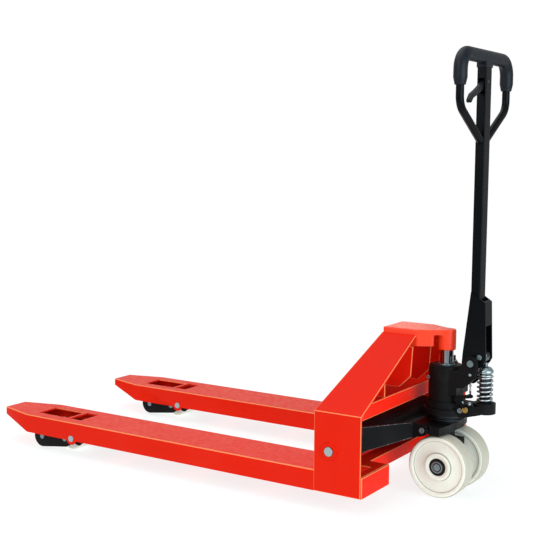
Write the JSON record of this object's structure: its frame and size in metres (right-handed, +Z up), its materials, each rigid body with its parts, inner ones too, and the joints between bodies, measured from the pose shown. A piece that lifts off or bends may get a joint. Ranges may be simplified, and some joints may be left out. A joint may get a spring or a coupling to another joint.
{
  "type": "hand pallet jack",
  "caption": "Hand pallet jack with long forks, hydraulic pump and steering wheels under a swinging handle with a loop grip.",
  "frame": {"origin": "on the floor, under the middle of the bounding box", "axes": "+X points to the handle and away from the fork tips, +Z up, and the trigger and release valve are on the -Y side"},
  "size_m": [1.527, 0.701, 1.196],
  "materials": {
    "red_paint": "glossy powder coat",
    "black_paint": "satin enamel",
    "nylon": "cast nylon",
    "bearing_steel": "ground steel",
    "chrome": "hard chrome",
    "bronze": "machined",
    "grip_plastic": "moulded",
    "spring_steel": "zinc plated wire",
    "zinc_plate": "bright zinc"
  },
  "bodies": {
    "frame": {"fork_left": "red_paint", "fork_right": "red_paint", "fork_stiffeners": "red_paint", "side_panels": "red_paint", "bulkhead": "red_paint", "rear_beam": "red_paint", "lower_member": "red_paint", "frame_ribs": "red_paint", "head_casting": "red_paint", "lift_ram": "chrome", "rocker_shaft": "zinc_plate", "shaft_collars": "red_paint", "bracket_pins": "zinc_plate", "bracket_spacers": "black_paint"},
    "rocker": {"rocker": "black_paint", "rocker_pins": "zinc_plate"},
    "thrust_plate": {"thrust_plate": "black_paint", "bearing_washer_lower": "zinc_plate"},
    "pump": {"ball_ring": "zinc_plate", "bearing_washer_upper": "zinc_plate", "pump_housing": "black_paint", "reservoir_cap": "black_paint", "ram_gland": "zinc_plate", "pump_plugs": "zinc_plate", "valve_seat": "bronze", "valve_bracket": "black_paint", "pump_screws": "zinc_plate", "pivot_bolt": "zinc_plate", "steer_axle": "zinc_plate", "axle_circlips": "zinc_plate"},
    "plunger": {"plunger": "zinc_plate", "plunger_spring": "spring_steel"},
    "release_lever": {"release_lever": "zinc_plate"},
    "pull_chain": {"pull_chain": "spring_steel"},
    "handle": {"handle_bracket": "black_paint", "handle_bushes": "bronze", "roller_bolt": "zinc_plate", "handle_tube": "black_paint", "grip": "grip_plastic", "trigger_pin": "zinc_plate"},
    "pump_roller": {"pump_roller": "zinc_plate"},
    "trigger": {"trigger": "grip_plastic"},
    "push_rod_left": {"push_rod_left": "black_paint"},
    "roller_bracket_left": {"roller_bracket_left": "black_paint", "bracket_axles_left": "zinc_plate"},
    "load_roller_front_left": {"load_roller_front_left": "nylon", "roller_bearings_front_left": "bearing_steel"},
    "load_roller_rear_left": {"load_roller_rear_left": "nylon", "roller_bearings_rear_left": "bearing_steel"},
    "steer_wheel_left": {"steer_wheel_left": "nylon", "steer_bearings_left": "bearing_steel"},
    "push_rod_right": {"push_rod_right": "black_paint"},
    "roller_bracket_right": {"roller_bracket_right": "black_paint", "bracket_axles_right": "zinc_plate"},
    "load_roller_front_right": {"load_roller_front_right": "nylon", "roller_bearings_front_right": "bearing_steel"},
    "load_roller_rear_right": {"load_roller_rear_right": "nylon", "roller_bearings_rear_right": "bearing_steel"},
    "steer_wheel_right": {"steer_wheel_right": "nylon", "steer_bearings_right": "bearing_steel"}
  },
  "joints": [
    {"name": "lift_slide", "type": "slide", "parent": "frame", "child": "thrust_plate", "axis": [0, 0, -1], "range_m": [-0.019, 0.078]},
    {"name": "rocker_hinge", "type": "hinge", "parent": "frame", "child": "rocker", "pos_m": [0.4505, 0, 0.16], "axis": [0, 1, 0], "range_deg": [-7.59, 30.85]},
    {"name": "push_rod_slide_left", "type": "slide", "parent": "frame", "child": "push_rod_left", "axis": [-1, 0, 0], "range_m": [-0.00559, 0.02262]},
    {"name": "roller_bracket_hinge_left", "type": "hinge", "parent": "frame", "child": "roller_bracket_left", "pos_m": [-0.4505, -0.264, 0.054], "axis": [0, -1, 0], "range_deg": [-9.46, 38.53]},
    {"name": "load_roller_spin_front_left", "type": "hinge", "parent": "roller_bracket_left", "child": "load_roller_front_left", "pos_m": [-0.58135, -0.264, 0.04], "axis": [0, 1, 0], "continuous": true},
    {"name": "load_roller_spin_rear_left", "type": "hinge", "parent": "roller_bracket_left", "child": "load_roller_rear_left", "pos_m": [-0.487, -0.264, 0.046], "axis": [0, 1, 0], "continuous": true},
    {"name": "push_rod_slide_right", "type": "slide", "parent": "frame", "child": "push_rod_right", "axis": [-1, 0, 0], "range_m": [-0.00559, 0.02262]},
    {"name": "roller_bracket_hinge_right", "type": "hinge", "parent": "frame", "child": "roller_bracket_right", "pos_m": [-0.4505, 0.264, 0.054], "axis": [0, -1, 0], "range_deg": [-9.46, 38.53]},
    {"name": "load_roller_spin_front_right", "type": "hinge", "parent": "roller_bracket_right", "child": "load_roller_front_right", "pos_m": [-0.58135, 0.264, 0.04], "axis": [0, 1, 0], "continuous": true},
    {"name": "load_roller_spin_rear_right", "type": "hinge", "parent": "roller_bracket_right", "child": "load_roller_rear_right", "pos_m": [-0.487, 0.264, 0.046], "axis": [0, 1, 0], "continuous": true},
    {"name": "steering", "type": "hinge", "parent": "thrust_plate", "child": "pump", "pos_m": [0.6215, 0, 0.212], "axis": [0, 0, 1], "range_deg": [-100, 100]},
    {"name": "steer_wheel_spin_left", "type": "hinge", "parent": "pump", "child": "steer_wheel_left", "pos_m": [0.6368, -0.0585, 0.085], "axis": [0, 1, 0], "continuous": true},
    {"name": "steer_wheel_spin_right", "type": "hinge", "parent": "pump", "child": "steer_wheel_right", "pos_m": [0.6368, 0.0585, 0.085], "axis": [0, 1, 0], "continuous": true},
    {"name": "handle_hinge", "type": "hinge", "parent": "pump", "child": "handle", "pos_m": [0.7075, 0, 0.37], "axis": [0, 1, 0], "range_deg": [0, 70], "stiffness_Nm_per_rad": 35},
    {"name": "pump_roller_spin", "type": "hinge", "parent": "handle", "child": "pump_roller", "pos_m": [0.7255, 0, 0.386], "axis": [0, 1, 0], "continuous": true},
    {"name": "plunger_slide", "type": "slide", "parent": "pump", "child": "plunger", "axis": [0, 0, -1], "range_m": [0, 0.0276], "deforming": ["plunger_spring"]},
    {"name": "trigger_hinge", "type": "hinge", "parent": "handle", "child": "trigger", "pos_m": [0.7062, 0, 1.114], "axis": [-1, 0, 0], "range_deg": [-12, 12], "stiffness_Nm_per_rad": 2},
    {"name": "release_lever_hinge", "type": "hinge", "parent": "pump", "child": "release_lever", "pos_m": [0.6725, -0.0475, 0.27], "axis": [0, -1, 0], "range_deg": [-10.1, 10.1]},
    {"name": "pull_chain_slide", "type": "slide", "parent": "pump", "child": "pull_chain", "axis": [0, 0, 1], "range_m": [-0.0045, 0.0045]}
  ],
  "couplings": [
    {"joint": "rocker_hinge", "follows": "lift_slide", "rad_per_m": 6.88},
    {"joint": "push_rod_slide_left", "follows": "lift_slide", "ratio": 0.2887},
    {"joint": "roller_bracket_hinge_left", "follows": "lift_slide", "rad_per_m": 8.6},
    {"joint": "push_rod_slide_right", "follows": "lift_slide", "ratio": 0.2887},
    {"joint": "roller_bracket_hinge_right", "follows": "lift_slide", "rad_per_m": 8.6},
    {"joint": "plunger_slide", "follows": "handle_hinge", "m_per_rad": 0.0224},
    {"joint": "release_lever_hinge", "follows": "trigger_hinge", "ratio": 0.8},
    {"joint": "pull_chain_slide", "follows": "trigger_hinge", "m_per_rad": 0.0209}
  ]
}
